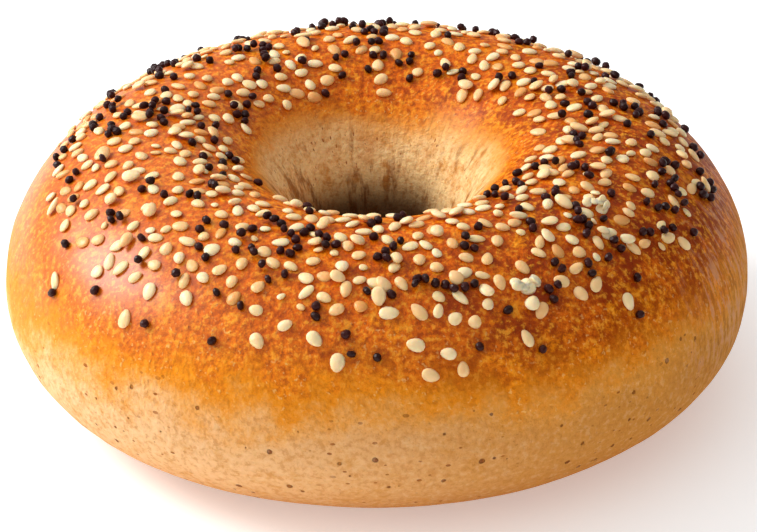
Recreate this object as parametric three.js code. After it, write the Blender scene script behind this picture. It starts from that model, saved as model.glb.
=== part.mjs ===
// A seeded bagel: one baked ring of dough with sesame and poppy seeds stuck to its crown.
// Millimetres, +Z up. The ring rests on z = 0 and its hole runs along Z. The front is at -Y.
import * as THREE from "three";
import { ParametricGeometry } from "three/addons/geometries/ParametricGeometry.js";

// ---- Driving dimensions of the ring's section ----
const OUTER_RADIUS = 55; // the widest girth
const GIRTH_LEVEL = 17.8; // height of the widest girth
const RIDGE_RADIUS = 32; // the highest line of the crown
const RING_HEIGHT = 40;
const THROAT_RADIUS = 11; // the narrowest part of the hole
const THROAT_LEVEL = 16;
const FOOT_INNER = 24.5; // the flat spot the ring was baked on
const FOOT_OUTER = 34.5;

// Fullness of each rounded quarter: 2 is an ellipse, more is squarer, less is more pointed.
const CROWN_OUTER_FULLNESS = 1.95;
const CROWN_INNER_FULLNESS = 2.05;
const BELLY_FULLNESS = 2.1;
const UNDERCUT_FULLNESS = 2.2;

// ---- How far the hand-rolled ring strays from a perfect one ----
const GIRTH_OVAL = 0.65; // wider across one diagonal
const GIRTH_LOBES = 0.3; // three very slight corners
const HEIGHT_LEAN = 0.5; // the back stands higher than the front
const HEIGHT_SADDLE = 0.3; // the sides stand higher than the front and back
const THROAT_OVAL = 0.5; // the hole is wider from side to side
const THROAT_RISE = 4; // the throat lies higher at the sides

// ---- Mesh steps ----
const STEPS_AROUND = 84;
const SECTION_STEPS = { crownOuter: 11, crownInner: 11, undercut: 8, foot: 2, belly: 8 };
const STEPS_ALONG = Object.values(SECTION_STEPS).reduce((sum, steps) => sum + steps, 0);

// ---- Seeds ----
// Taper is how much narrower the tip is than the blunt end.
const SESAME = { length: 2.7, width: 2.15, thickness: 0.95, taper: 0.32, around: 8, along: 6 };
const POPPY = { length: 1.45, width: 1.35, thickness: 1.3, taper: 0.12, around: 8, along: 5 };
const SEAT_GAP = 0.06; // clearance between a seed and the crust under it
const HALF_BALL = 0.5;

// Stray seeds low on the front of the crown, each [degrees round the ring, degrees down from
// the ridge, degrees of spin]. Round the ring, 180 is the left, 270 the front and 360 the right.
const FRONT_SESAME = [
  [210, 60, 130],
  [218, 48, 110],
  [222, 43, 80],
  [228, 58, 105],
  [230, 46, 105],
  [237, 44, 135],
  [251, 53, 130],
  [255, 46, 35],
  [260, 50, 140],
  [264, 58, 85],
  [272, 40, 0],
  [276, 52, 165],
  [277, 40, 130],
  [278, 63, 160],
  [281, 56, 165],
  [283, 62, 90],
  [286, 46, 0],
  [294, 55, 110],
  [306, 45, 110],
  [314, 54, 85],
  [333, 48, 95],
];
const FRONT_POPPY = [
  [207, 48, 0],
  [211, 64, 40],
  [220, 54, 80],
  [232, 57, 10],
  [244, 56, 60],
  [265, 48, 30],
  [266, 55, 0],
  [270, 56, 90],
  [286, 55, 120],
  [292, 44, 20],
  [296, 60, 50],
  [315, 60, 0],
  [318, 48, 70],
  [337, 48, 100],
];

// The rest stand round the back, spread evenly between two angles and swaying up and down.
const BACK_SESAME = { count: 9, from: 10, to: 185, tilt: 5, sway: 34 };
const BACK_POPPY = { count: 15, from: 2, to: 190, tilt: 12, sway: -30 };
const SWAY_TURN = 137.5; // degrees of sway from one seed to the next, so that none repeat
const BACK_SPIN = 55; // degrees of spin from one seed to the next

const radians = THREE.MathUtils.degToRad;
const QUARTER_TURN = Math.PI / 2;

// The section's sizes at one angle round the ring.
function sizesAt(angle) {
  const oval = Math.cos(2 * angle);
  return {
    outer: OUTER_RADIUS + GIRTH_OVAL * Math.sin(2 * angle) - GIRTH_LOBES * Math.sin(3 * angle),
    height: RING_HEIGHT + HEIGHT_LEAN * Math.sin(angle) + HEIGHT_SADDLE * oval,
    throat: THROAT_RADIUS + THROAT_OVAL * oval,
    throatLevel: THROAT_LEVEL + THROAT_RISE * oval,
  };
}

// A rounded quarter: how much is left of its first half-width, and gained of its second.
function quarter(turn, fullness) {
  const power = 2 / fullness;
  return [Math.abs(Math.cos(turn)) ** power, Math.abs(Math.sin(turn)) ** power];
}

// Each profile gives a distance from the hole's axis and a height.
// Upper crust: tilt 0 is the ridge, a quarter turn is the girth, minus a quarter the throat.
function crownProfile(angle, tilt) {
  const size = sizesAt(angle);
  if (tilt >= 0) {
    const [up, out] = quarter(tilt, CROWN_OUTER_FULLNESS);
    const radius = RIDGE_RADIUS + (size.outer - RIDGE_RADIUS) * out;
    return [radius, GIRTH_LEVEL + (size.height - GIRTH_LEVEL) * up];
  }
  const [up, inward] = quarter(-tilt, CROWN_INNER_FULLNESS);
  const radius = RIDGE_RADIUS - (RIDGE_RADIUS - size.throat) * inward;
  return [radius, size.throatLevel + (size.height - size.throatLevel) * up];
}

// Hole wall under the throat: share 0 is the throat and 1 the foot.
function undercutProfile(angle, share) {
  const size = sizesAt(angle);
  const [inward, down] = quarter(share * QUARTER_TURN, UNDERCUT_FULLNESS);
  return [FOOT_INNER - (FOOT_INNER - size.throat) * inward, size.throatLevel * (1 - down)];
}

function footProfile(share) {
  return [THREE.MathUtils.lerp(FOOT_INNER, FOOT_OUTER, share), 0];
}

// Belly under the girth: share 0 is the foot and 1 the girth.
function bellyProfile(angle, share) {
  const [down, out] = quarter((1 - share) * QUARTER_TURN, BELLY_FULLNESS).reverse();
  const radius = FOOT_OUTER + (sizesAt(angle).outer - FOOT_OUTER) * out;
  return [radius, GIRTH_LEVEL * (1 - down)];
}

// The whole section as one loop, from the girth over the crown, down the hole and back out.
function sectionProfile(angle, share) {
  const parts = [
    [SECTION_STEPS.crownOuter, (s) => crownProfile(angle, QUARTER_TURN * (1 - s))],
    [SECTION_STEPS.crownInner, (s) => crownProfile(angle, -QUARTER_TURN * s)],
    [SECTION_STEPS.undercut, (s) => undercutProfile(angle, s)],
    [SECTION_STEPS.foot, footProfile],
    [SECTION_STEPS.belly, (s) => bellyProfile(angle, s)],
  ];
  let step = share * STEPS_ALONG;
  for (const [steps, profile] of parts) {
    if (step <= steps) {
      return profile(step / steps);
    }
    step -= steps;
  }
  return bellyProfile(angle, 1);
}

function pointAt(angle, [radius, level], target = new THREE.Vector3()) {
  return target.set(radius * Math.cos(angle), radius * Math.sin(angle), level);
}

function crustMaterial() {
  return new THREE.MeshStandardMaterial({ color: 0xbf640f, roughness: 0.42, metalness: 0 });
}

function sesameMaterial() {
  return new THREE.MeshStandardMaterial({ color: 0xefcb93, roughness: 0.5, metalness: 0 });
}

function poppyMaterial() {
  return new THREE.MeshStandardMaterial({ color: 0x2a1a2b, roughness: 0.35, metalness: 0 });
}

function makeRing() {
  const surface = (u, v, target) => {
    const angle = 2 * Math.PI * u;
    pointAt(angle, sectionProfile(angle, v), target);
  };
  const geometry = new ParametricGeometry(surface, STEPS_AROUND, STEPS_ALONG);
  const ring = new THREE.Mesh(geometry, crustMaterial());
  ring.name = "bagel_ring";
  return ring;
}

// A seed lies along X with its tip at +X, and its poles are its two ends.
function seedGeometry(seed) {
  const geometry = new THREE.SphereGeometry(HALF_BALL, seed.around, seed.along);
  geometry.rotateZ(-QUARTER_TURN);
  const place = geometry.attributes.position;
  for (let i = 0; i < place.count; i++) {
    const narrowing = 1 - seed.taper * (place.getX(i) + HALF_BALL);
    place.setX(i, place.getX(i) * seed.length);
    place.setY(i, place.getY(i) * seed.width * narrowing);
    place.setZ(i, place.getZ(i) * seed.thickness);
  }
  return geometry;
}

// Lays a seed on the crown, flat against the crust. Spin 0 points its tip round the ring.
function layOnCrown(seed, thickness, angle, tilt, spin) {
  const nearby = 1e-3;
  const here = pointAt(angle, crownProfile(angle, tilt));
  const round = pointAt(angle + nearby, crownProfile(angle + nearby, tilt)).sub(here);
  const down = pointAt(angle, crownProfile(angle, tilt + nearby)).sub(here);
  const normal = new THREE.Vector3().crossVectors(down, round).normalize();
  round.normalize();
  const up = new THREE.Vector3().crossVectors(normal, round);
  seed.quaternion.setFromRotationMatrix(new THREE.Matrix4().makeBasis(round, up, normal));
  seed.rotateZ(spin);
  seed.position.copy(here).addScaledVector(normal, thickness / 2 + SEAT_GAP);
}

// Places round the back as [angle, tilt, spin] in degrees, like the front lists.
function backPlaces(row) {
  return Array.from({ length: row.count }, (_, i) => [
    THREE.MathUtils.lerp(row.from, row.to, i / (row.count - 1)),
    row.tilt + row.sway * Math.sin(radians(i * SWAY_TURN)),
    i * BACK_SPIN,
  ]);
}

// One mesh per seed, numbered in the order of its places.
function makeSeeds(name, seed, material, places) {
  const geometry = seedGeometry(seed);
  return places.map(([angle, tilt, spin], i) => {
    const mesh = new THREE.Mesh(geometry, material);
    mesh.name = `${name}_${String(i + 1).padStart(2, "0")}`;
    layOnCrown(mesh, seed.thickness, radians(angle), radians(tilt), radians(spin));
    return mesh;
  });
}

function makeBagel() {
  const sesame = [...FRONT_SESAME, ...backPlaces(BACK_SESAME)];
  const poppy = [...FRONT_POPPY, ...backPlaces(BACK_POPPY)];
  const bagel = new THREE.Group();
  bagel.add(makeRing());
  bagel.add(...makeSeeds("sesame_seed", SESAME, sesameMaterial(), sesame));
  bagel.add(...makeSeeds("poppy_seed", POPPY, poppyMaterial(), poppy));

  // The origin is under the middle of the whole bagel.
  const bounds = new THREE.Box3().setFromObject(bagel, true);
  const middle = bounds.getCenter(new THREE.Vector3());
  bagel.position.set(-middle.x, -middle.y, -bounds.min.z);
  return bagel;
}

export default makeBagel();
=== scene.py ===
# A seeded bagel: the baked ring, its sesame and poppy seeds, and a soft-lit studio.
# Metres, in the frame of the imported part: +Z up along the hole, the front at -Y.
import math

import bpy
import numpy as np
from bpy.props import FloatProperty, FloatVectorProperty, IntProperty, PointerProperty
from mathutils import Matrix, Vector, noise
from mathutils.kdtree import KDTree


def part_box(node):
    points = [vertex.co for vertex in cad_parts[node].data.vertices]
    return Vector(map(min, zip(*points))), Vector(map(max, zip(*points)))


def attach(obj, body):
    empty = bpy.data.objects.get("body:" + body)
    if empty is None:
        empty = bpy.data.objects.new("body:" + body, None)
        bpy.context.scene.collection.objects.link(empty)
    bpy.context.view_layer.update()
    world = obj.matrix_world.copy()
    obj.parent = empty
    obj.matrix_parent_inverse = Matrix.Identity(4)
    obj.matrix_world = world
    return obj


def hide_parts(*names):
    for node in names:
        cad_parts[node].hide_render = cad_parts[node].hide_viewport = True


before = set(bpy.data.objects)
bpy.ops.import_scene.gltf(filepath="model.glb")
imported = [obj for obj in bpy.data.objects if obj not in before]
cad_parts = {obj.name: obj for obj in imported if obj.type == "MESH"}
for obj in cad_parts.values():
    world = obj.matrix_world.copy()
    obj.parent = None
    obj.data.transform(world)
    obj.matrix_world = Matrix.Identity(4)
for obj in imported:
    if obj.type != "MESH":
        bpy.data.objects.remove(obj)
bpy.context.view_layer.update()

bl_info = {
    "name": "Seeded Bagel",
    "version": (1, 0, 0),
    "blender": (4, 5, 0),
    "location": "View3D > Sidebar > Bagel",
    "description": "Bakes a bagel ring, sprinkles it with seeds and lights it",
    "category": "Add Mesh",
}

MM = 0.001
BODY = "root"
RING = "bagel_ring"
CRUST = "bagel_crust"
RING_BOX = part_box(RING)
QUARTER_TURN = math.pi / 2

MATH = "ShaderNodeMath"
VECTOR_MATH = "ShaderNodeVectorMath"
MIX = "ShaderNodeMix"
NOISE = "ShaderNodeTexNoise"
VORONOI = "ShaderNodeTexVoronoi"
MAP_RANGE = "ShaderNodeMapRange"
NAMED = "GeometryNodeInputNamedAttribute"
SET_POSITION = "GeometryNodeSetPosition"
NOISE_MIDDLE = 0.5

# The section's steps. A share of them lies on the flat foot.
STEPS_AROUND = 560
STEPS_ALONG = 176
FOOT_SHARE = 0.06

# Seeds. Sizes are in seed lengths where the shape below says so.
SESAME, POPPY = "sesame", "poppy"
SESAME_SHAPE = {"Segments": 8, "Rings": 7, "Length": 1.0, "Width": 0.88, "Thickness": 0.33, "Taper": 0.30,
                "Lump Width": 0.6, "Lump Depth": 0.05}
POPPY_SHAPE = {"Segments": 7, "Rings": 6, "Length": 1.0, "Width": 0.93, "Thickness": 0.9, "Taper": 0.15,
               "Lump Width": 0.55, "Lump Depth": 0.16}
BY_LENGTH = ("Length", "Width", "Thickness", "Lump Width", "Lump Depth")
FOOT_RADIUS = {SESAME: 1.12 * MM, POPPY: 0.70 * MM}
SEAT = {SESAME: 0.22 * MM, POPPY: 0.42 * MM}
SIZE_SPREAD = {SESAME: 0.09, POPPY: 0.08}
UNEVEN_SEAT = 0.08
PILE_LIFT = 0.45 * MM
PILE_LEAN = 0.3
PILE_CHANCE = 0.22
FRAGMENT_CHANCE = 0.12
GLAZED_CHANCE = 0.14
GLAZE_POOL_AND_SHADE_WIDTH = 1.3 * MM
SPRINKLE_SEED = 963
SESAME_DRIFT, POPPY_DRIFT = 23.1, 8.4
STREWN_SIZE = 0.89
CLUSTER_SIZES = (0.60, 0.25, 0.10, 0.03, 0.02)
# Where the sprinkling ends, in degrees of tilt, at every 45 degrees from the right round by the back.
SESAME_OUTER_EDGE = (42, 41, 37, 42, 45, 42, 42, 44)
SESAME_INNER_EDGE = (-20, -24, -27, -30, -31, -22, -16, -18)
POPPY_OUTER_EDGE = (45, 44, 41, 44, 44, 41, 41, 45)
POPPY_INNER_EDGE = (-20, -22, -24, -28, -31, -22, -14, -18)
CRUMB_HEAPS = ((324, 19, 9), (297, 36, 8), (318, 24, 3))  # angle, tilt and how many pieces

# ---- The studio, in metres, with the lens in millimetres ----
FLOOR_REACH = 6.0
SOFTBOX_SIZE = (0.36, 0.32)
SOFTBOX_WAY = (-0.78, 0.2, 0.59)
SOFTBOX_DISTANCE = 0.7
SENSOR_WIDTH, LENS_LENGTH = 36, 178.9
LENS_SHIFT = (0.00174, -0.02177)
AIM_LEVEL = 20 * MM
SIGHT_REACH = 50


# ---- Small tools ----

def colour(hex_text):
    """An sRGB hex colour as linear red, green, blue and alpha."""
    parts = [int(hex_text[i:i + 2], 16) / 255 for i in (1, 3, 5)]
    linear = [p / 12.92 if p <= 0.04045 else ((p + 0.055) / 1.055) ** 2.4 for p in parts]
    return (*linear, 1.0)


def node(tree, kind, *inputs, sockets=None, **settings):
    """Adds a node, sets it and fills its sockets in order. A node or socket is linked, None is left alone."""
    made = tree.nodes.new(kind)
    for key, value in settings.items():
        setattr(made, key, value)
    for key, value in [*enumerate(inputs), *(sockets or {}).items()]:
        if value is None:
            continue
        if isinstance(value, bpy.types.Node):
            value = value.outputs[0]
        if isinstance(value, bpy.types.NodeSocket):
            tree.links.new(value, made.inputs[key])
        else:
            made.inputs[key].default_value = value
    return made


def shape_tree(name, sizes):
    """A Geometry Nodes tree with a named input for each size, then its material."""
    tree = bpy.data.node_groups.new(name, "GeometryNodeTree")
    tree.interface.new_socket("Geometry", in_out="OUTPUT", socket_type="NodeSocketGeometry")
    tree.interface.new_socket("Geometry", in_out="INPUT", socket_type="NodeSocketGeometry")
    for size, value in sizes.items():
        kind = "NodeSocketInt" if isinstance(value, int) else "NodeSocketFloat"
        tree.interface.new_socket(size, in_out="INPUT", socket_type=kind)
    tree.interface.new_socket("Material", in_out="INPUT", socket_type="NodeSocketMaterial")
    return tree, tree.nodes.new("NodeGroupInput").outputs


def finish_tree(tree, geometry, material):
    """Ends a tree: real geometry, smooth, with its material."""
    real = node(tree, "GeometryNodeRealizeInstances", geometry)
    smooth = node(tree, "GeometryNodeSetShadeSmooth", real)
    coated = node(tree, "GeometryNodeSetMaterial", smooth, sockets={"Material": material})
    node(tree, "NodeGroupOutput", coated)


def grow(name, start, tree, sizes, material):
    """Runs a tree on a starting mesh and keeps the result as a plain mesh object."""
    seedling = bpy.data.objects.new(name + "_start", start)
    bpy.context.scene.collection.objects.link(seedling)
    modifier = seedling.modifiers.new("Shape", "NODES")
    modifier.node_group = tree
    for item in tree.interface.items_tree:
        if item.in_out == "INPUT" and item.name in sizes:
            modifier[item.identifier] = sizes[item.name]
        if item.in_out == "INPUT" and item.name == "Material":
            modifier[item.identifier] = material
    bpy.context.view_layer.update()
    graph = bpy.context.evaluated_depsgraph_get()
    mesh = bpy.data.meshes.new_from_object(
        seedling.evaluated_get(graph), preserve_all_data_layers=True, depsgraph=graph)
    if not len(mesh.polygons):
        raise RuntimeError(f"{name} came out empty")
    bpy.data.objects.remove(seedling)
    mesh.name = name
    piece = bpy.data.objects.new(name, mesh)
    bpy.context.scene.collection.objects.link(piece)
    return piece


def smoothstep(low, high, value):
    share = np.clip((value - low) / (high - low), 0, 1)
    return share * share * (3 - 2 * share)


# ---- The ring ----

def ring_tree(sizes):
    """The baked ring: four rounded quarters and a flat foot, swept round the hole."""
    tree, given = shape_tree("Bagel ring", sizes)
    path = node(tree, "GeometryNodeCurvePrimitiveCircle", sockets={0: given["Steps Around"], 4: 1.0})
    profile = node(tree, "GeometryNodeCurvePrimitiveCircle", sockets={0: given["Steps Along"], 4: 0.1})
    factor = node(tree, "GeometryNodeSplineParameter").outputs["Factor"]
    marks = []
    for curve, label in ((path, "around"), (profile, "along")):
        marks.append(node(tree, "GeometryNodeStoreNamedAttribute", curve,
                          sockets={"Name": label, "Value": factor}, data_type="FLOAT", domain="POINT"))
    sweep = node(tree, "GeometryNodeFlipFaces", node(tree, "GeometryNodeCurveToMesh", marks[0], marks[1]))
    around = node(tree, NAMED, "around", data_type="FLOAT")
    along = node(tree, NAMED, "along", data_type="FLOAT")

    # How far each size strays at this angle round the hole.
    angle = node(tree, MATH, around, 2 * math.pi, operation="MULTIPLY")
    double = node(tree, MATH, angle, 2.0, operation="MULTIPLY")
    triple = node(tree, MATH, angle, 3.0, operation="MULTIPLY")
    lean = node(tree, MATH, angle, operation="SINE")
    oval = node(tree, MATH, double, operation="COSINE")
    diagonal = node(tree, MATH, double, operation="SINE")
    lobes = node(tree, MATH, triple, operation="SINE")

    def stray(size, *terms):
        total = given[size]
        for wave, amount in terms:
            total = node(tree, MATH, wave, given[amount], total, operation="MULTIPLY_ADD")
        return total

    outer = stray("Outer Radius", (diagonal, "Girth Oval"), (lobes, "Girth Lobes"))
    height = stray("Ring Height", (lean, "Height Lean"), (oval, "Height Saddle"))
    throat = stray("Throat Radius", (oval, "Throat Oval"))
    throat_level = stray("Throat Level", (oval, "Throat Rise"))

    # The turn round the section: 0 the girth, a quarter the ridge, a half the throat.
    foot = node(tree, MAP_RANGE, along, 0.75 * (1 - FOOT_SHARE), 0.75 * (1 - FOOT_SHARE) + FOOT_SHARE)
    dwell = node(tree, MATH, foot, -FOOT_SHARE, along, operation="MULTIPLY_ADD")
    turn = node(tree, MATH, dwell, 2 * math.pi / (1 - FOOT_SHARE), operation="MULTIPLY")
    out = node(tree, MATH, turn, operation="COSINE")
    up = node(tree, MATH, turn, operation="SINE")
    outside = node(tree, MATH, out, 0.0, operation="GREATER_THAN")
    above = node(tree, MATH, up, 0.0, operation="GREATER_THAN")

    def choose(pick, no, yes):
        return node(tree, MIX, pick, sockets={2: no, 3: yes}, data_type="FLOAT")

    fullness = choose(above,
                      choose(outside, given["Undercut Fullness"], given["Belly Fullness"]),
                      choose(outside, given["Crown Inner Fullness"], given["Crown Outer Fullness"]))
    power = node(tree, MATH, 2.0, fullness, operation="DIVIDE")
    middle = choose(above, choose(foot, given["Foot Inner"], given["Foot Outer"]), given["Ridge Radius"])
    edge = choose(outside, throat, outer)
    level = choose(outside, throat_level, given["Girth Level"])
    top = choose(above, 0.0, height)
    places = []
    for wave, start, end in ((out, middle, edge), (up, level, top)):
        size = node(tree, MATH, wave, operation="ABSOLUTE")
        share = node(tree, MATH, size, power, operation="POWER")
        reach = node(tree, MATH, end, start, operation="SUBTRACT")
        places.append(node(tree, MATH, reach, share, start, operation="MULTIPLY_ADD"))
    radius, z = places
    x = node(tree, MATH, radius, node(tree, MATH, angle, operation="COSINE"), operation="MULTIPLY")
    y = node(tree, MATH, radius, lean, operation="MULTIPLY")
    place = node(tree, "ShaderNodeCombineXYZ", x, y, z)
    smooth = node(tree, SET_POSITION, sweep, sockets={"Position": place})

    # Paleness: 0 on the ridge, 1 where the brown crust ends, 2 where no colour is left.
    quarters = node(tree, MATH, turn, QUARTER_TURN, operation="DIVIDE")
    shifted = node(tree, MATH, node(tree, MATH, quarters, 1.0, operation="ADD"), 4.0, operation="MODULO")
    signed = node(tree, MATH, shifted, 2.0, operation="SUBTRACT")
    inner = node(tree, MATH, signed, given["Inner Crust Edge"], operation="DIVIDE")
    outer_edge = node(tree, MATH, given["Outer Crust Edge"], -1.0, operation="MULTIPLY")
    outer_side = node(tree, MATH, signed, outer_edge, operation="DIVIDE")
    pale = node(tree, MATH, inner, outer_side, operation="MAXIMUM")
    pale = node(tree, MATH, pale, 2.0, operation="MINIMUM")
    marked = node(tree, "GeometryNodeStoreNamedAttribute", smooth,
                  sockets={"Name": "paleness", "Value": pale}, data_type="FLOAT", domain="POINT")

    # Hand-rolled unevenness: broad swells and small dimples, none at the foot.
    place = node(tree, "GeometryNodeInputPosition")
    swells = node(tree, NOISE, place, sockets={"Scale": 1 / (38 * MM), "Detail": 1.0})
    dimples = node(tree, NOISE, place, sockets={"Scale": 1 / (7 * MM), "Detail": 2.0, "Roughness": 0.45})
    centred = [node(tree, MATH, n, 0.5, operation="SUBTRACT") for n in (swells, dimples)]
    rise = node(tree, MATH, centred[0], given["Swell Depth"], operation="MULTIPLY")
    rise = node(tree, MATH, centred[1], given["Dimple Depth"], rise, operation="MULTIPLY_ADD")
    clear = node(tree, MAP_RANGE, z, 0.5 * MM, 6 * MM)
    rise = node(tree, MATH, rise, clear, operation="MULTIPLY")
    push = node(tree, VECTOR_MATH, node(tree, "GeometryNodeInputNormal"), sockets={"Scale": rise},
                operation="SCALE")
    uneven = node(tree, SET_POSITION, marked, sockets={"Offset": push})
    finish_tree(tree, uneven, given["Material"])
    return tree


def ring_sizes(crust):
    """The ring's sizes, in metres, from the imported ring's box and the settings."""
    return {
        "Steps Around": STEPS_AROUND,
        "Steps Along": STEPS_ALONG,
        "Outer Radius": (RING_BOX[1].x - RING_BOX[0].x) / 2,
        "Girth Level": crust.girth_level,
        "Ridge Radius": crust.ridge_radius,
        "Ring Height": crust.ring_height,
        "Throat Radius": crust.throat_radius,
        "Throat Level": crust.throat_level,
        "Foot Inner": crust.foot_inner,
        "Foot Outer": crust.foot_outer,
        "Crown Outer Fullness": 1.95,
        "Crown Inner Fullness": 2.05,
        "Belly Fullness": 2.1,
        "Undercut Fullness": 2.2,
        "Girth Oval": 0.65 * MM,
        "Girth Lobes": -0.3 * MM,
        "Height Lean": 0.5 * MM,
        "Height Saddle": 0.3 * MM,
        "Throat Oval": 0.5 * MM,
        "Throat Rise": 4 * MM,
        "Outer Crust Edge": 0.78,
        "Inner Crust Edge": 0.46,
        "Swell Depth": crust.swell_depth,
        "Dimple Depth": crust.dimple_depth,
    }


def mix(tree, share, start, end):
    """Blends two colours."""
    return node(tree, MIX, sockets={0: share, 6: start, 7: end}, data_type="RGBA").outputs[2]


class Recipe:
    """A material being made, with short names for the nodes that its patterns need."""

    def __init__(self, name):
        self.material = bpy.data.materials.new(name)
        self.material.use_nodes = True
        self.tree = self.material.node_tree
        self.shader = self.tree.nodes["Principled BSDF"]
        self.place = node(self.tree, "ShaderNodeTexCoord").outputs["Object"]

    def attribute(self, name):
        return node(self.tree, "ShaderNodeAttribute", attribute_name=name).outputs["Fac"]

    def vector(self, operation, *inputs):
        return node(self.tree, VECTOR_MATH, *inputs, operation=operation)

    def axes(self, vector):
        parts = node(self.tree, "ShaderNodeSeparateXYZ", vector)
        return [parts.outputs[axis] for axis in "XYZ"]

    def grain(self, width, detail=2.0, roughness=0.5, vector=None):
        """Cloudy noise between 0 and 1, whose clouds are about as far apart as the width."""
        vector = self.place if vector is None else vector
        sockets = {"Scale": 1 / width, "Detail": detail, "Roughness": roughness}
        return node(self.tree, NOISE, vector, sockets=sockets)

    def span(self, value, start, end):
        """Rises smoothly from 0 where the value is at the start to 1 where it is at the end."""
        return node(self.tree, MAP_RANGE, value, start, end, interpolation_type="SMOOTHSTEP")

    def times(self, total, *factors):
        for factor in factors:
            total = node(self.tree, MATH, total, factor, operation="MULTIPLY")
        return total

    def plus(self, total, value, amount=1.0):
        return node(self.tree, MATH, value, amount, total, operation="MULTIPLY_ADD")

    def off_middle(self, noise_value):
        """Noise moved down to sway about 0."""
        return node(self.tree, MATH, noise_value, NOISE_MIDDLE, operation="SUBTRACT")

    def ramp(self, value, first, last, between):
        """Colours along a value from 0 to 1. Each is a place and a colour."""
        made = node(self.tree, "ShaderNodeValToRGB", value)
        stops = made.color_ramp.elements
        for stop, (position, shade) in zip(stops, (first, last)):
            stop.position, stop.color = position, shade
        for position, shade in between:
            stops.new(position).color = shade
        return made.outputs["Color"]

    def paint(self, under, share, strength, shade):
        """Lays a colour over another, as thickly as a share between 0 and 1 times a strength."""
        return mix(self.tree, self.times(share, strength), under, shade)

    def set(self, **values):
        """Sets the shader's sockets, where _ stands for a space in a name."""
        for name, value in values.items():
            self.shader.inputs[name.replace("_", " ")].default_value = value

    def link(self, value, name):
        self.tree.links.new(value.outputs[0] if isinstance(value, bpy.types.Node) else value,
                            self.shader.inputs[name])

    def emboss(self, height):
        """Stands the surface up in relief. The height is in millimetres."""
        self.link(node(self.tree, "ShaderNodeBump", sockets={"Distance": MM, "Height": height}), "Normal")


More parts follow.
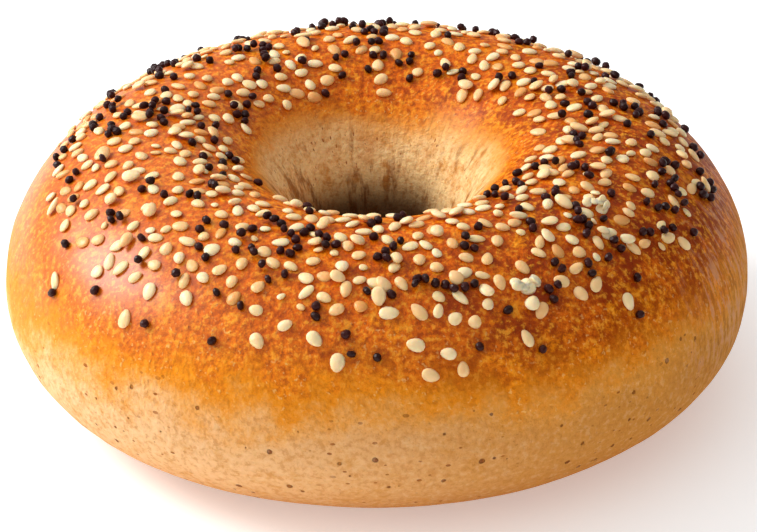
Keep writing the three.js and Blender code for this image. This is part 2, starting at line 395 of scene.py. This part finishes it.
class CrustRecipe(Recipe):
    """Baked wheat crust with an egg glaze: a thin shiny skin, brown on the crown and floury pale below."""

    def __init__(self, crust):
        super().__init__("glazed_wheat_crust")
        self.crust = crust
        self.find_regions()
        self.grow_grains()
        self.find_edge()
        self.link(self.colour_with_painted_light(), "Base Color")
        self.add_glaze()
        self.add_relief()

    def find_regions(self):
        """Shares of the surface that lie to one side, or inside the hole."""
        flat = self.vector("MULTIPLY", self.place, (1, 1, 0))
        self.radius = self.vector("LENGTH", flat).outputs["Value"]
        self.spoke = self.vector("NORMALIZE", flat)
        self.x, self.y, self.z = self.axes(self.place)
        self.inside = node(self.tree, MAP_RANGE, self.radius, 30 * MM, 26 * MM)
        self.right = self.span(self.x, -10 * MM, 45 * MM)
        self.left = self.span(self.x, -5 * MM, -40 * MM)
        self.back = self.span(self.y, 5 * MM, 35 * MM)

    def grow_grains(self):
        """The crust's patterns, from the widest, how evenly it browned, to the pebbling of its skin."""
        self.broad = self.grain(15 * MM)
        self.mottle = self.grain(4.8 * MM, 6.0, 0.70)
        elsewhere = self.vector("ADD", self.place, (0.3, 0.1, 0.2))
        self.blotch = self.grain(3.6 * MM, 5.0, 0.74, elsewhere)
        self.fine = self.grain(1.1 * MM, 3.0, 0.55)
        self.grit = self.grain(0.9 * MM, 3.0, 0.6)
        self.skin = self.grain(0.42 * MM)

    def find_edge(self):
        """The edge of the brown crust wanders, and lies lower on the left. It is near 1."""
        edge = self.plus(self.attribute("paleness"), self.off_middle(self.broad), 0.40)
        edge = self.plus(edge, self.span(self.x, -20 * MM, -50 * MM), -0.10)
        self.edge = self.plus(edge, self.off_middle(self.mottle), 0.55)
        self.crown = self.span(self.edge, 1.15, 0.75)
        self.belly = self.span(self.edge, 0.9, 1.2)
        self.amber = self.times(self.span(self.edge, 0.25, 0.8), self.span(self.edge, 1.35, 1.05))

    def stretched(self, arc, rise):
        """A way over the surface: spokes laid out to an arc's radius, with the height scaled."""
        upright = self.vector("MULTIPLY", self.place, (0, 0, rise))
        return self.vector("MULTIPLY_ADD", self.spoke, (arc,) * 3, upright)

    def pits(self, width, size, vector=None):
        """Pits of all sizes up to a share of their spacing, none quite round."""
        vector = self.place if vector is None else vector
        cells = node(self.tree, VORONOI, vector, sockets={"Scale": 1 / width, "Randomness": 1.0})
        luck = self.axes(cells.outputs["Color"])[0]
        rim = self.plus(cells.outputs["Distance"], self.fine, 0.22)
        reach = self.times(luck, luck, size)
        return self.span(node(self.tree, MATH, rim, reach, operation="SUBTRACT"), 0.16, 0.10)

    def colour_with_painted_light(self):
        """The whole crust's colour, laid on in the order that the real one gets it, with painted shade and
        painted highlight laid in among it.
        """
        tone = self.base_colour()
        tone = self.mottle_crown(tone)
        tone = self.stain_wall(tone)
        tone = self.speck_belly(tone)
        tone = self.paint_crease_light_and_shade(tone)
        # Pooled glaze browns the crust against the seeds, and painted contact shade darkens it there as well.
        tone = self.paint(tone, self.times(self.attribute("glaze_pool_and_shade"), self.crown), 0.34, colour("#9A3400"))
        # Painted shade: the throat of the hole is painted near black, deep in the hole where little light
        # reaches, except on its right wall.
        throat = self.times(
            node(self.tree, MAP_RANGE, self.radius, 20 * MM, 16 * MM), self.span(self.z, 29 * MM, 21 * MM))
        throat = self.times(throat, self.span(self.x, 12 * MM, 6 * MM))
        return self.paint(tone, throat, 0.94, colour("#2C0C02"))

    def base_colour(self):
        """Brown glaze that thins to amber at its edge, then flour, darker underneath. The flour is painted
        darker on the right, as painted shade away from the key light.
        """
        brown, thin = (0.0, self.crust.crown_colour), (0.57, colour("#EA9A38"))
        glaze = self.ramp(self.times(self.edge, 0.5), brown, thin, (
            (0.34, colour("#DE6A04")), (0.43, colour("#E0760A")), (0.50, colour("#E48816"))))
        # Painted shade: the flour darkens from left to right, away from the key light.
        across = self.span(self.x, -45 * MM, 42 * MM)
        flour = mix(self.tree, across, self.crust.flour_colour, colour("#CC883A"))
        tone = mix(self.tree, self.span(self.edge, 1.0, 1.35), glaze, flour)
        return self.paint(tone, self.span(self.z, 12 * MM, 1 * MM), 0.55, colour("#B46408"))

    def mottle_crown(self, tone):
        """Baking mottles the crown: deep brown patches, light ones and a fine grain. The right is painted
        browner, with more deep patches, partly baked colour and partly painted shade away from the key light.
        """
        # Partly painted shade: the crown browns towards the right, away from the key light.
        tone = self.paint(tone, self.times(self.right, self.crown), 0.3, colour("#C8500A"))
        depth = self.mottle
        for side, amount in ((self.right, 0.12), (self.back, -0.06), (self.left, -0.08)):
            depth = self.plus(depth, side, amount)
        deep = self.span(depth, 0.48, 0.70)
        tone = self.paint(tone, self.times(deep, self.crown), 0.85, self.crust.deep_colour)
        light = self.span(self.blotch, 0.50, 0.66)
        light = self.times(light, self.span(self.edge, 1.3, 0.9))
        tone = self.paint(tone, light, 0.75, self.crust.amber_colour)
        dark = self.times(self.span(self.grit, 0.50, 0.36), self.crown)
        tone = self.paint(tone, dark, self.plus(0.62, self.left, -0.3), colour("#902E00"))
        bright = self.times(self.span(self.grit, 0.51, 0.65), self.crown)
        return self.paint(tone, bright, 0.62, colour("#FFAC30"))

    def stain_wall(self, tone):
        """The hole's wall: floury beige, stained brown in blotches and soft upright streaks."""
        wall = self.times(self.inside, self.span(self.edge, 0.85, 1.35))
        streaks = self.grain(3.2 * MM, 4.0, 0.66, self.stretched(17 * MM, 0.42))
        for pattern, start, end, strength, shade in ((self.mottle, 0.68, 0.46, 0.85, "#F6D296"),
                                                     (self.blotch, 0.54, 0.68, 0.5, "#C07A22"),
                                                     (streaks, 0.50, 0.66, 0.8, "#8A4A0C")):
            share = self.times(wall, self.span(pattern, start, end))
            tone = self.paint(tone, share, strength, colour(shade))
        return tone

    def speck_belly(self, tone):
        """Burst blisters leave pale flecks in the amber. The belly has pores, dashes and freckles."""
        speckle = self.span(self.grain(0.62 * MM, 1.0), 0.62, 0.72)
        self.flecks = self.times(speckle, self.span(self.mottle, 0.56, 0.44))
        tone = self.paint(tone, self.times(self.flecks, self.amber), 0.5, colour("#F6C272"))
        self.pores = self.times(self.pits(2.4 * MM, 0.17), self.plus(1.0, self.inside, -0.9))
        dashes = self.pits(1.1 * MM, 0.22, self.stretched(30 * MM, 1.0))
        dashes = self.times(dashes, self.span(self.broad, 0.38, 0.54))
        for pattern, strength, shade in ((dashes, 0.85, "#8A4210"),
                                         (self.pores, 0.85, "#6E2C08"),
                                         (self.span(self.blotch, 0.49, 0.66), 0.5, "#D08C3C"),
                                         (self.span(self.grit, 0.50, 0.36), 0.38, "#BC7630"),
                                         (self.span(self.grit, 0.52, 0.66), 0.12, "#FFE0B4")):
            tone = self.paint(tone, self.times(pattern, self.belly), strength, colour(shade))
        return tone

    def paint_crease_light_and_shade(self, tone):
        """Dried creases run down the right side. Their backs are painted pale as a painted highlight, and
        their beds brown as painted shade.
        """
        self.creases = self.grain(1.1 * MM, 4.0, 0.65, self.stretched(52 * MM, 0.3))
        outside = self.span(self.radius, 38 * MM, 50 * MM)
        self.creased = self.times(outside, self.plus(0.2, self.span(self.x, 36 * MM, 50 * MM), 0.8))
        rim = self.times(self.creased, self.span(self.x, 38 * MM, 51 * MM))
        rim = self.times(rim, self.span(self.z, 8 * MM, 18 * MM))
        # Painted highlight on the crease backs, then painted shade in their beds.
        for end, strength, shade in ((0.62, 0.6, "#D69C78"), (0.38, 0.42, "#8A4416")):
            share = self.times(self.span(self.creases, NOISE_MIDDLE, end), rim)
            tone = self.paint(tone, share, strength, colour(shade))
        return tone

    def add_glaze(self):
        """The glaze gives all the shine. It is thickest on the left and thins out towards the belly."""
        thickness = self.plus(self.plus(0.28, self.left, 0.44), self.right, -0.10)
        self.link(self.plus(0.06, self.times(self.crown, thickness)), "Coat Weight")
        self.set(Roughness=0.6, Specular_IOR_Level=0.0, Coat_Roughness=0.34)
        self.set(Subsurface_Weight=0.10, Subsurface_Scale=1.4 * MM, Subsurface_Radius=(1.0, 0.4, 0.12))

    def add_relief(self):
        """Pebbled skin, creases and pores, each with its height in millimetres."""
        wall_creases = self.grain(2.0 * MM, 3.0, 0.6, self.stretched(17 * MM, 0.25))
        relief = self.times(self.skin, 0.11)
        for pattern, height in ((self.fine, 0.42),
                                (self.mottle, 0.40),
                                (self.times(self.creases, self.creased), 0.8),
                                (self.times(self.grit, self.crown), 0.4),
                                (self.times(wall_creases, self.inside), 0.34),
                                (self.times(self.flecks, self.amber), 0.05),
                                (self.times(self.pores, self.belly), -0.34)):
            relief = self.plus(relief, pattern, height)
        self.emboss(relief)


# ---- The settings a user would change ----

def colour_setting(name, description, hex_text):
    return FloatVectorProperty(name=name, description=description, default=colour(hex_text),
                               size=4, min=0, max=1, subtype="COLOR")


class CrustSettings(bpy.types.PropertyGroup):
    girth_level: FloatProperty(
        name="Girth level", description="Height of the widest girth", default=17.8 * MM, unit="LENGTH")
    ridge_radius: FloatProperty(
        name="Ridge radius", description="Distance of the highest line from the hole's axis",
        default=32 * MM, unit="LENGTH")
    ring_height: FloatProperty(
        name="Ring height", description="Height of the crown", default=40 * MM, unit="LENGTH")
    throat_radius: FloatProperty(
        name="Throat radius", description="Radius of the hole's narrowest part",
        default=11 * MM, unit="LENGTH")
    throat_level: FloatProperty(
        name="Throat level", description="Height of the hole's narrowest part",
        default=16 * MM, unit="LENGTH")
    foot_inner: FloatProperty(
        name="Foot inner radius", description="Inner edge of the flat spot", default=24.5 * MM, unit="LENGTH")
    foot_outer: FloatProperty(
        name="Foot outer radius", description="Outer edge of the flat spot", default=34.5 * MM, unit="LENGTH")
    swell_depth: FloatProperty(
        name="Swell depth", description="How far broad swells rise", default=0.9 * MM, unit="LENGTH")
    dimple_depth: FloatProperty(
        name="Dimple depth", description="How far small dimples sink", default=0.35 * MM, unit="LENGTH")
    crown_colour: colour_setting("Crown colour", "The brown glaze on the crown", "#E06804")
    deep_colour: colour_setting("Deep colour", "Patches of the crown that baked the darkest", "#842400")
    amber_colour: colour_setting("Amber colour", "Light patches of the crown", "#F8920A")
    flour_colour: colour_setting("Flour colour", "The pale, floury belly", "#F2C08A")


class StudioSettings(bpy.types.PropertyGroup):
    tilt: FloatProperty(name="Camera tilt", description="How far the camera looks down",
                        default=math.radians(27.05), subtype="ANGLE")
    distance: FloatProperty(name="Camera distance", description="From the camera to the bagel's middle",
                            default=0.56, unit="LENGTH")
    key: FloatProperty(name="Key light", description="Power of the big soft light on the left", default=4.6)
    surround: FloatProperty(name="Surround", description="Brightness of the white surround", default=0.8)


def crown_grid(piece):
    """The crust's points and normals as grids: first round the hole, then along the section."""
    mesh = piece.data
    points = np.empty(len(mesh.vertices) * 3, np.float32)
    mesh.vertices.foreach_get("co", points)
    normals = np.empty(len(mesh.vertices) * 3, np.float32)
    mesh.vertex_normals.foreach_get("vector", normals)
    shape = (STEPS_AROUND, STEPS_ALONG, 3)
    return points.reshape(shape).astype(float), normals.reshape(shape).astype(float)


class BAGEL_OT_crust(bpy.types.Operator):
    """Bake the ring"""
    bl_idname = "bagel.crust"
    bl_label = "Bake the ring"

    def execute(self, context):
        crust = context.scene.bagel_crust
        sizes = ring_sizes(crust)
        piece = grow(CRUST, bpy.data.meshes.new(CRUST), ring_tree(sizes), sizes, CrustRecipe(crust).material)
        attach(piece, BODY)
        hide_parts(RING)
        return {"FINISHED"}


# ---- Where the seeds lie ----

class Crown:
    """The finished crust as somewhere to lay seeds. Tilt is degrees down from the ridge, outwards above 0."""

    def __init__(self, piece):
        self.points, self.normals = crown_grid(piece)
        share = np.arange(STEPS_ALONG) / STEPS_ALONG
        foot = np.clip((share - 0.75 * (1 - FOOT_SHARE)) / FOOT_SHARE, 0, 1)
        turn = (share - FOOT_SHARE * foot) / (1 - FOOT_SHARE) * 360
        self.tilt = np.where(turn <= 270, 90 - turn, 450 - turn)
        self.angle = np.arange(STEPS_AROUND) * 360 / STEPS_AROUND
        self.across = np.roll(self.points, -1, 0) - self.points
        self.along = np.roll(self.points, -1, 1) - self.points
        self.area = np.linalg.norm(np.cross(self.across, self.along), axis=2)
        self.tree = KDTree(self.area.size)
        for i, point in enumerate(self.points.reshape(-1, 3)):
            self.tree.insert(point, i)
        self.tree.balance()

    def at(self, angle, tilt):
        """The point at an angle round the ring and a tilt, in degrees."""
        row = round(angle % 360 / 360 * STEPS_AROUND) % STEPS_AROUND
        return self.points[row, int(np.argmin(np.abs(self.tilt - tilt)))]

    def drop(self, place):
        """The nearest place on the crust, and the way out of it."""
        _, index, _ = self.tree.find(place)
        near, normal = self.points.reshape(-1, 3)[index], self.normals.reshape(-1, 3)[index]
        return place - normal * np.dot(place - near, normal), normal

    def scatter(self, density, count, random):
        """Random places, as thick on the ground as the density grid says."""
        weight = (self.area * density).ravel()
        picks = random.choice(weight.size, count, p=weight / weight.sum())
        slide = random.random((2, count, 1))
        start, across, along = (grid.reshape(-1, 3)[picks] for grid in (self.points, self.across, self.along))
        return start + across * slide[0] + along * slide[1]

    def thickness(self, outer_edge, inner_edge, fade, patch, drift):
        """A density grid: full between two edges that change round the ring, fading past them."""
        steps = np.linspace(0, 360, len(outer_edge) + 1)
        high, low = (np.interp(self.angle, steps, [*edge, edge[0]])[:, None]
                     for edge in (outer_edge, inner_edge))
        tilt = self.tilt[None, :]
        inside = smoothstep(high + fade, high - fade, tilt) * smoothstep(low - fade, low + fade, tilt)
        coarse = self.points[::8, ::8]
        shift = Vector((0, 0, drift))
        patches = np.array([noise.noise(Vector(p) / patch + shift) for p in coarse.reshape(-1, 3)])
        patches = patches.reshape(coarse.shape[:2]).repeat(8, 0).repeat(8, 1)
        return inside * np.clip(0.8 + 0.6 * patches, 0.15, None)


class Sprinkle:
    """The seeds laid so far. Each lies at a foot on the crust, which it covers to a radius."""

    def __init__(self, crown, seed):
        self.crown = crown
        self.random = np.random.default_rng(seed)
        self.feet, self.radii = np.empty((0, 3)), np.empty(0)
        self.rows = {SESAME: [], POPPY: []}

    def touched(self, place, radius, give):
        """Which laid seeds one at this place would touch. Give is how close they may come."""
        gaps = np.linalg.norm(self.feet - place, axis=1)
        return np.flatnonzero(gaps < (self.radii + radius) * give)

    def lay(self, kind, place, lift=0.0, lean=(0, 0, 0), size=1.0, shade=None, forward=None):
        """Lays one seed. Lift raises it over its usual seat, lean tips it and forward points its tip."""
        random = self.random
        foot, normal = self.crown.drop(np.array(place))
        up = Vector(normal + random.normal(0, UNEVEN_SEAT, 3) + lean).normalized()
        if forward is None:
            forward = Vector(random.normal(0, 1, 3))
        side = up.cross(forward).normalized()
        turn = Matrix((side.cross(up), side, up)).transposed().to_euler()
        spread = random.normal(1, SIZE_SPREAD[kind], 3) * size
        shade = random.random() if shade is None else shade
        self.rows[kind].append((*(foot + normal * (SEAT[kind] + lift)), *turn, *spread, shade))
        self.feet = np.vstack([self.feet, foot])
        self.radii = np.append(self.radii, FOOT_RADIUS[kind] * size)

    def lay_on(self, kind, place, other):
        """Lays a seed that rests one edge on another."""
        away = place - self.feet[other]
        away /= np.linalg.norm(away) + 1e-9
        self.lay(kind, place, lift=PILE_LIFT, lean=away * PILE_LEAN)


def lay_packed_seeds(sprinkle):
    """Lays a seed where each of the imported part's own seeds is, turned the same way."""
    for name, packed in sorted(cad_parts.items()):
        kind = name.split("_")[0]
        if kind not in sprinkle.rows:
            continue
        corners = np.array([v.co for v in packed.data.vertices])
        middle = (corners.min(0) + corners.max(0)) / 2
        spreads, ways = np.linalg.eigh(np.cov((corners - corners.mean(0)).T))
        forward = ways[:, 2]
        if np.sum(((corners - corners.mean(0)) @ forward) ** 3) < 0:
            forward = -forward
        sprinkle.lay(kind, middle, forward=Vector(forward))


def strew_sesame(sprinkle, count):
    """Scatters sesame over the crown. Some rest on a neighbour."""
    density = sprinkle.crown.thickness(SESAME_OUTER_EDGE, SESAME_INNER_EDGE, 7, 11 * MM, SESAME_DRIFT)
    for place in sprinkle.crown.scatter(density, count * 12, sprinkle.random):
        if len(sprinkle.rows[SESAME]) >= count:
            break
        near = sprinkle.touched(place, FOOT_RADIUS[SESAME], 0.98)
        luck = sprinkle.random.random()
        if len(near) == 0 and luck < GLAZED_CHANCE:
            sprinkle.lay(SESAME, place, lift=-0.14 * MM, size=0.92, shade=sprinkle.random.uniform(1.2, 2.0))
        elif len(near) == 0 and luck > 1 - FRAGMENT_CHANCE:
            sprinkle.lay(SESAME, place, size=sprinkle.random.uniform(0.5, 0.75))
        elif len(near) == 0:
            sprinkle.lay(SESAME, place, size=STREWN_SIZE)
        elif len(near) == 1 and luck < PILE_CHANCE:
            if len(sprinkle.touched(place, FOOT_RADIUS[SESAME], 0.62)) == 0:
                sprinkle.lay_on(SESAME, place, near[0])


def strew_poppy(sprinkle, count):
    """Scatters poppy seeds in small clusters, because they cling together as they fall."""
    random, crown = sprinkle.random, sprinkle.crown
    density = crown.thickness(POPPY_OUTER_EDGE, POPPY_INNER_EDGE, 8, 9 * MM, POPPY_DRIFT)
    for start in crown.scatter(density, count * 6, random):
        if len(sprinkle.rows[POPPY]) >= count:
            break
        cluster = []
        for _ in range(random.choice(len(CLUSTER_SIZES), p=CLUSTER_SIZES) + 1):
            for _ in range(8):
                place = start
                if cluster:
                    push = random.normal(0, 1, 3)
                    push *= random.uniform(1.0, 1.18) * 2 * FOOT_RADIUS[POPPY] / np.linalg.norm(push)
                    place, _ = crown.drop(cluster[random.integers(len(cluster))] + push)
                near = sprinkle.touched(place, FOOT_RADIUS[POPPY], 0.93)
                if len(near) == 0:
                    sprinkle.lay(POPPY, place)
                    cluster.append(place)
                    break
                perched = len(sprinkle.touched(place, FOOT_RADIUS[POPPY], 0.75)) == 0
                if len(near) == 1 and perched and random.random() < PILE_CHANCE:
                    sprinkle.lay_on(POPPY, place, near[0])
                    cluster.append(place)
                    break


def drop_crumbs(sprinkle):
    """Drops the little heaps of broken, paler sesame."""
    random, crown = sprinkle.random, sprinkle.crown
    for angle, tilt, count in CRUMB_HEAPS:
        for i in range(count):
            place, normal = crown.drop(crown.at(angle, tilt) + random.normal(0, 0.8 * MM, 3))
            sprinkle.lay(SESAME, place, lift=random.uniform(0, 0.9) * MM, lean=random.normal(0, 0.4, 3),
                         size=random.uniform(0.6, 0.9), shade=0.1)


# ---- The seeds themselves ----

def seed_tree(name, sizes):
    """One seed, drawn out along X to a blunt tip, set down at every place and made a little lumpy."""
    tree, given = shape_tree(name, sizes)
    ball = node(tree, "GeometryNodeMeshUVSphere", given["Segments"], given["Rings"], 0.5)
    corner = node(tree, "ShaderNodeSeparateXYZ", node(tree, "GeometryNodeInputPosition"))
    share = node(tree, MATH, corner.outputs["Z"], 0.5, operation="ADD")
    marked = node(tree, "GeometryNodeStoreNamedAttribute", ball,
                  sockets={"Name": "tip", "Value": share}, data_type="FLOAT", domain="POINT")
    narrow = node(tree, MATH, share, node(tree, MATH, given["Taper"], -1.0, operation="MULTIPLY"), 1.0,
                  operation="MULTIPLY_ADD")
    width = node(tree, MATH, given["Width"], narrow, operation="MULTIPLY")
    shape = node(tree, "ShaderNodeCombineXYZ",
                 node(tree, MATH, corner.outputs["Z"], given["Length"], operation="MULTIPLY"),
                 node(tree, MATH, corner.outputs["X"], width, operation="MULTIPLY"),
                 node(tree, MATH, corner.outputs["Y"], given["Thickness"], operation="MULTIPLY"))
    seed = node(tree, SET_POSITION, marked, sockets={"Position": shape})
    turn = node(tree, NAMED, "turn", data_type="FLOAT_VECTOR")
    size = node(tree, NAMED, "size", data_type="FLOAT_VECTOR")
    laid = node(tree, "GeometryNodeInstanceOnPoints", given["Geometry"], sockets={
        "Instance": seed, "Rotation": node(tree, "FunctionNodeEulerToRotation", turn), "Scale": size})
    real = node(tree, "GeometryNodeRealizeInstances", laid)
    frequency = node(tree, MATH, 1.0, given["Lump Width"], operation="DIVIDE")
    place = node(tree, "GeometryNodeInputPosition")
    lumps = node(tree, NOISE, place, sockets={"Scale": frequency, "Detail": 0.0})
    rise = node(tree, MATH, node(tree, MATH, lumps, 0.5, operation="SUBTRACT"), given["Lump Depth"],
                operation="MULTIPLY")
    push = node(tree, VECTOR_MATH, node(tree, "GeometryNodeInputNormal"), sockets={"Scale": rise},
                operation="SCALE")
    lumpy = node(tree, SET_POSITION, real, sockets={"Offset": push})
    finish_tree(tree, lumpy, given["Material"])
    return tree


def seed_places(name, rows):
    """A mesh of loose points that carry each seed's turn, size and shade."""
    table = np.array(rows)
    mesh = bpy.data.meshes.new(name)
    mesh.vertices.add(len(table))
    mesh.vertices.foreach_set("co", table[:, :3].ravel())
    for label, kind, field, columns in (("turn", "FLOAT_VECTOR", "vector", slice(3, 6)),
                                        ("size", "FLOAT_VECTOR", "vector", slice(6, 9)),
                                        ("shade", "FLOAT", "value", slice(9, 10))):
        attribute = mesh.attributes.new(label, kind, "POINT")
        attribute.data.foreach_set(field, table[:, columns].ravel())
    return mesh


def sesame_material(seeds):
    """Hulled, lightly toasted sesame: waxy and cream, browner at the tip."""
    made = Recipe("toasted_hulled_sesame")
    clouds = made.grain(0.9 * MM)
    toast = made.plus(made.attribute("shade"), clouds, 0.45)
    cream = made.ramp(made.times(toast, 0.5), (0.0, seeds.sesame_colour), (1.0, seeds.toasted_colour), (
        (0.30, colour("#FFD8A2")), (0.55, colour("#FAC486"))))
    brown = node(made.tree, MAP_RANGE, made.attribute("tip"), 0.75, 1.0, 0.0, 0.35)
    made.link(mix(made.tree, brown, cream, colour("#C98B45")), "Base Color")
    made.set(Roughness=0.42)
    made.set(Subsurface_Weight=0.6, Subsurface_Scale=0.9 * MM, Subsurface_Radius=(1.0, 0.6, 0.3))
    made.emboss(made.times(clouds, 0.12))
    return made.material


def poppy_material(seeds):
    """Blue poppy seed: near black and satin. Its net is drawn coarser than the real one, to show."""
    made = Recipe("blue_poppy_seed")
    net = node(made.tree, VORONOI, made.place, sockets={"Scale": 1 / (0.32 * MM)}).outputs["Distance"]
    tone = mix(made.tree, made.attribute("shade"), seeds.poppy_colour, colour("#380B0A"))
    made.link(tone, "Base Color")
    made.set(Roughness=0.34, Specular_IOR_Level=0.2)
    made.emboss(made.times(net, 0.08))
    return made.material


def mark_glaze_pool_and_shade(piece, sprinkle):
    """Marks how near each point of the crust is to a seed, where the glaze pools and browns and where contact
    shade is painted.
    """
    tree = KDTree(len(sprinkle.feet))
    for i, foot in enumerate(sprinkle.feet):
        tree.insert(foot, i)
    tree.balance()
    glaze_pool_and_shade = np.zeros(len(piece.data.vertices), np.float32)
    for i, vertex in enumerate(piece.data.vertices):
        found = tree.find_n(vertex.co, 4)
        edge = min(distance - sprinkle.radii[index] for _, index, distance in found)
        glaze_pool_and_shade[i] = np.clip(1 - edge / GLAZE_POOL_AND_SHADE_WIDTH, 0, 1)
    piece.data.attributes.new("glaze_pool_and_shade", "FLOAT", "POINT").data.foreach_set("value", glaze_pool_and_shade)


class SeedSettings(bpy.types.PropertyGroup):
    sesame_count: IntProperty(name="Sesame seeds", description="How many sesame seeds", default=640)
    poppy_count: IntProperty(name="Poppy seeds", description="How many poppy seeds", default=350)
    sesame_length: FloatProperty(name="Sesame length", description="Length of a sesame seed",
                                 default=2.56 * MM, unit="LENGTH")
    poppy_length: FloatProperty(name="Poppy length", description="Length of a poppy seed",
                                default=1.4 * MM, unit="LENGTH")
    sesame_colour: colour_setting("Sesame colour", "The palest sesame", "#FFE4BC")
    toasted_colour: colour_setting("Toasted colour", "The brownest sesame", "#E8A458")
    poppy_colour: colour_setting("Poppy colour", "The darkest poppy seeds", "#240300")


class BAGEL_OT_seeds(bpy.types.Operator):
    """Sprinkle the sesame and poppy seeds"""
    bl_idname = "bagel.seeds"
    bl_label = "Sprinkle the seeds"

    def execute(self, context):
        seeds = context.scene.bagel_seeds
        crust = bpy.data.objects[CRUST]
        sprinkle = Sprinkle(Crown(crust), SPRINKLE_SEED)
        lay_packed_seeds(sprinkle)
        drop_crumbs(sprinkle)
        strew_sesame(sprinkle, seeds.sesame_count)
        strew_poppy(sprinkle, seeds.poppy_count)
        mark_glaze_pool_and_shade(crust, sprinkle)
        for kind, length, sizes, material in (
                (SESAME, seeds.sesame_length, SESAME_SHAPE, sesame_material(seeds)),
                (POPPY, seeds.poppy_length, POPPY_SHAPE, poppy_material(seeds))):
            name = kind + "_seeds"
            sizes = {label: value * length if label in BY_LENGTH else value for label, value in sizes.items()}
            places = seed_places(name, sprinkle.rows[kind])
            piece = grow(name, places, seed_tree(name, sizes), sizes, material)
            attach(piece, BODY)
            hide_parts(*(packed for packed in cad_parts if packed.startswith(kind)))
        return {"FINISHED"}


class BAGEL_OT_studio(bpy.types.Operator):
    """Set up the floor, the lights and the camera"""
    bl_idname = "bagel.studio"
    bl_label = "Set up the studio"

    def execute(self, context):
        studio = context.scene.bagel_studio
        add_floor()
        add_lights(studio)
        add_camera(context.scene, studio)
        return {"FINISHED"}


def add_floor():
    """White paper that glows a little, so that it stays white in the bagel's shade."""
    mesh = bpy.data.meshes.new("studio_floor")
    corners = [(x * FLOOR_REACH, y * FLOOR_REACH, 0) for x, y in ((-1, -1), (1, -1), (1, 1), (-1, 1))]
    mesh.from_pydata(corners, [], [(0, 1, 2, 3)])
    material = bpy.data.materials.new("white_paper_floor")
    material.use_nodes = True
    shader = material.node_tree.nodes["Principled BSDF"]
    shader.inputs["Base Color"].default_value = colour("#F4F4F4")
    shader.inputs["Roughness"].default_value = 0.9
    shader.inputs["Emission Color"].default_value = colour("#FFFFFF")
    shader.inputs["Emission Strength"].default_value = 0.34
    mesh.materials.append(material)
    floor = bpy.data.objects.new("studio_floor", mesh)
    bpy.context.scene.collection.objects.link(floor)


def add_lights(studio):
    scene = bpy.context.scene
    world = bpy.data.worlds.new("white_surround")
    world.use_nodes = True
    background = world.node_tree.nodes["Background"]
    background.inputs["Color"].default_value = colour("#FFFFFF")
    way = node(world.node_tree, "ShaderNodeTexCoord").outputs["Generated"]
    corner = node(world.node_tree, "ShaderNodeSeparateXYZ", way)
    overhead = node(world.node_tree, MAP_RANGE, corner.outputs["Z"], 0.0, 0.7, 0.4, 1.25)
    left, right = studio.surround, studio.surround * 0.3
    across = node(world.node_tree, MAP_RANGE, corner.outputs["X"], -0.3, 0.9, left, right)
    glow = node(world.node_tree, MATH, overhead, across, operation="MULTIPLY")
    world.node_tree.links.new(glow.outputs[0], background.inputs["Strength"])
    scene.world = world
    light = bpy.data.lights.new("key_softbox", "AREA")
    light.shape = "RECTANGLE"
    light.size, light.size_y = SOFTBOX_SIZE
    light.energy = studio.key
    lamp = bpy.data.objects.new("key_softbox", light)
    lamp.location = Vector(SOFTBOX_WAY) * SOFTBOX_DISTANCE
    lamp.rotation_euler = (-lamp.location).to_track_quat("-Z", "Y").to_euler()
    scene.collection.objects.link(lamp)


def add_camera(scene, studio):
    camera = bpy.data.cameras.new("camera")
    camera.sensor_width, camera.lens = SENSOR_WIDTH, LENS_LENGTH
    camera.shift_x, camera.shift_y = LENS_SHIFT
    camera.clip_end = SIGHT_REACH
    eye = bpy.data.objects.new("camera", camera)
    target = Vector((0, 0, AIM_LEVEL))
    eye.location = target + Vector((0, -math.cos(studio.tilt), math.sin(studio.tilt))) * studio.distance
    eye.rotation_euler = (QUARTER_TURN - studio.tilt, 0, 0)
    scene.collection.objects.link(eye)
    scene.camera = eye
    scene.view_settings.view_transform = "Standard"


class BAGEL_PT_panel(bpy.types.Panel):
    """Lists the bagel's steps and their settings"""
    bl_idname = "BAGEL_PT_panel"
    bl_label = "Seeded Bagel"
    bl_space_type = "VIEW_3D"
    bl_region_type = "UI"
    bl_category = "Bagel"

    def draw(self, context):
        for step, settings in STEPS:
            self.layout.operator(step.bl_idname)
            group = getattr(context.scene, settings)
            for name in group.bl_rna.properties.keys():
                if name not in ("name", "rna_type"):
                    self.layout.prop(group, name)


STEPS = [(BAGEL_OT_crust, "bagel_crust"), (BAGEL_OT_seeds, "bagel_seeds"), (BAGEL_OT_studio, "bagel_studio")]
SETTINGS = {"bagel_crust": CrustSettings, "bagel_seeds": SeedSettings, "bagel_studio": StudioSettings}


def register():
    for kind in [*SETTINGS.values(), *(step for step, _ in STEPS), BAGEL_PT_panel]:
        bpy.utils.register_class(kind)
    for name, kind in SETTINGS.items():
        setattr(bpy.types.Scene, name, PointerProperty(type=kind))


def unregister():
    for name in SETTINGS:
        delattr(bpy.types.Scene, name)
    for kind in [BAGEL_PT_panel, *(step for step, _ in STEPS), *SETTINGS.values()]:
        bpy.utils.unregister_class(kind)


def main():
    register()
    bpy.ops.bagel.crust()
    bpy.ops.bagel.seeds()
    bpy.ops.bagel.studio()


if __name__ == "__main__":
    main()
